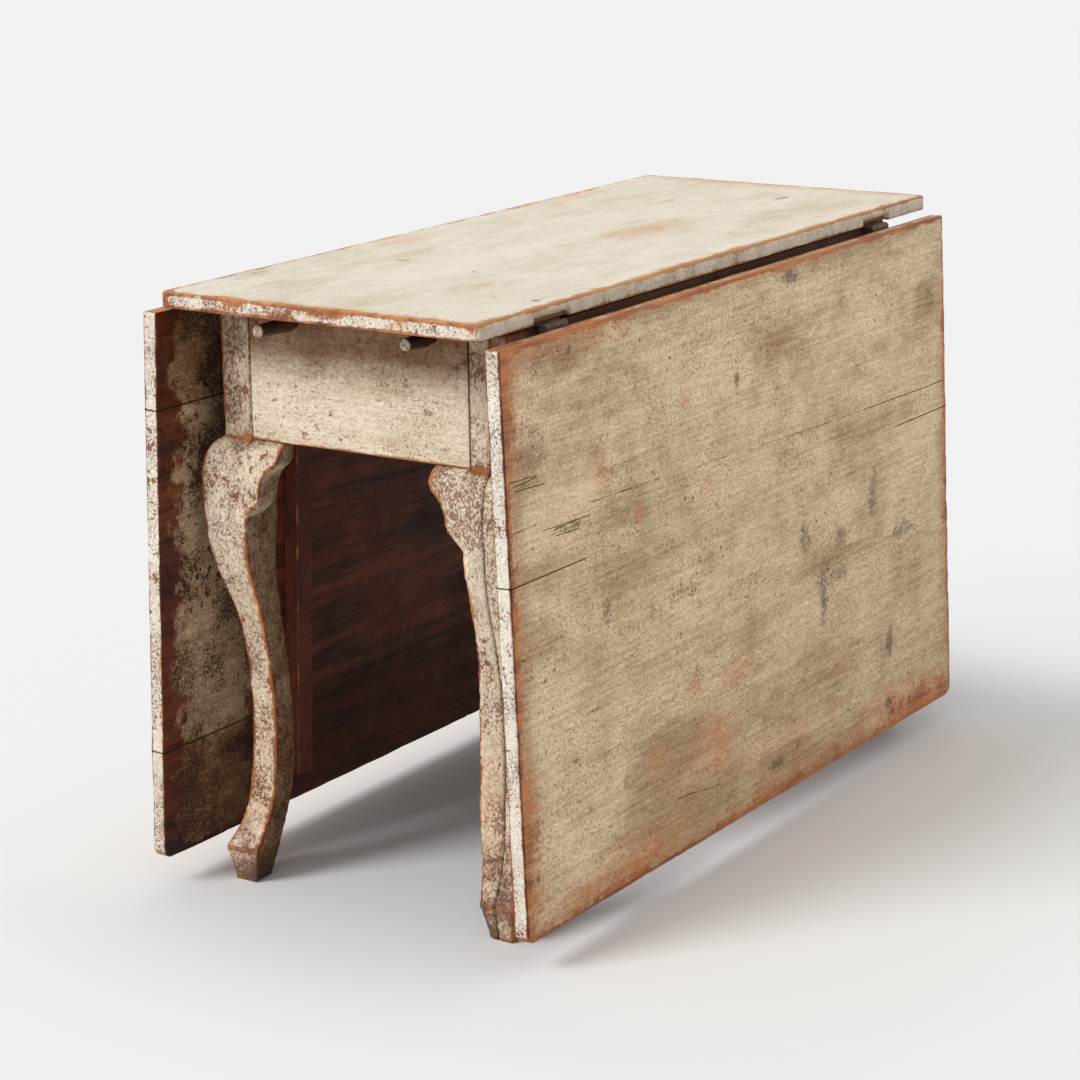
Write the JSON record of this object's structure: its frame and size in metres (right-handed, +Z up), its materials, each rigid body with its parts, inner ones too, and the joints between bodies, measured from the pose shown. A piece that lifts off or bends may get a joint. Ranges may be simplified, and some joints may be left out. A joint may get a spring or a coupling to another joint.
{
  "type": "pembroke table",
  "caption": "Drop-leaf table with square cabriole legs, scrolled ears, deep hanging leaves on barrel hinges and swing-leg gates, in worn cream paint.",
  "frame": {"origin": "on the floor, under the middle of the closed table", "axes": "+X along the table to the far end, +Y to the left leaf, +Z up"},
  "size_m": [1.084, 0.5488, 0.74],
  "materials": {
    "top_paint": "old cream paint on softwood, rubbed through at the edges",
    "leaf_paint": "old cream paint on softwood, stained, chipped and bare along the rims",
    "frame_paint": "old cream paint on softwood, flecked and worn to red-brown wood at the arrises",
    "batten_wood": "unpainted red-brown softwood, rubbed light at the arrises",
    "bare_wood": "unpainted darkened softwood",
    "peg_wood": "whittled dark hardwood",
    "iron": "hand-forged iron, dark and slightly rusted"
  },
  "bodies": {
    "frame": {"far_apron": "frame_paint", "far_left_end_ear": "frame_paint", "far_left_leg_fixed_half": "frame_paint", "far_left_peg": "peg_wood", "far_right_end_ear": "frame_paint", "far_right_leg": "frame_paint", "far_right_peg": "peg_wood", "far_right_side_ear": "frame_paint", "far_top_cleat": "bare_wood", "hinge_frame_nails": "iron", "left_apron": "frame_paint", "left_far_hinge_fixed_plate": "iron", "left_far_hinge_pin": "iron", "left_gate_ear": "frame_paint", "left_gate_leg": "frame_paint", "left_gate_mount": "bare_wood", "left_gate_pin": "bare_wood", "left_gate_rail": "bare_wood", "left_near_hinge_fixed_plate": "iron", "left_near_hinge_pin": "iron", "near_apron": "frame_paint", "near_left_end_ear": "frame_paint", "near_left_leg": "frame_paint", "near_left_peg": "peg_wood", "near_left_side_ear": "frame_paint", "near_right_end_ear": "frame_paint", "near_right_leg_fixed_half": "frame_paint", "near_right_peg": "peg_wood", "near_top_cleat": "bare_wood", "right_apron": "frame_paint", "right_far_hinge_fixed_plate": "iron", "right_far_hinge_pin": "iron", "right_gate_ear": "frame_paint", "right_gate_leg": "frame_paint", "right_gate_mount": "bare_wood", "right_gate_pin": "bare_wood", "right_gate_rail": "bare_wood", "right_near_hinge_fixed_plate": "iron", "right_near_hinge_pin": "iron", "tenon_pins": "peg_wood", "top_cleat_nails": "iron", "top_narrow_board": "top_paint", "top_wide_board": "top_paint"},
    "left_leaf": {"left_far_hinge_leaf_plate": "iron", "left_leaf_far_batten": "batten_wood", "left_leaf_lower_board": "leaf_paint", "left_leaf_middle_board": "leaf_paint", "left_leaf_nails": "iron", "left_leaf_near_batten": "batten_wood", "left_leaf_upper_board": "leaf_paint", "left_near_hinge_leaf_plate": "iron"},
    "right_leaf": {"right_far_hinge_leaf_plate": "iron", "right_leaf_far_batten": "batten_wood", "right_leaf_lower_board": "leaf_paint", "right_leaf_nails": "iron", "right_leaf_near_batten": "batten_wood", "right_leaf_upper_board": "leaf_paint", "right_near_hinge_leaf_plate": "iron"}
  },
  "joints": [
    {"name": "left_leaf_hinge", "type": "hinge", "parent": "frame", "child": "left_leaf", "pos_m": [0, 0.223, 0.7145], "axis": [1, 0, 0], "range_deg": [0, 87.8]},
    {"name": "right_leaf_hinge", "type": "hinge", "parent": "frame", "child": "right_leaf", "pos_m": [0, -0.223, 0.7145], "axis": [-1, 0, 0], "range_deg": [0, 87.8]}
  ]
}
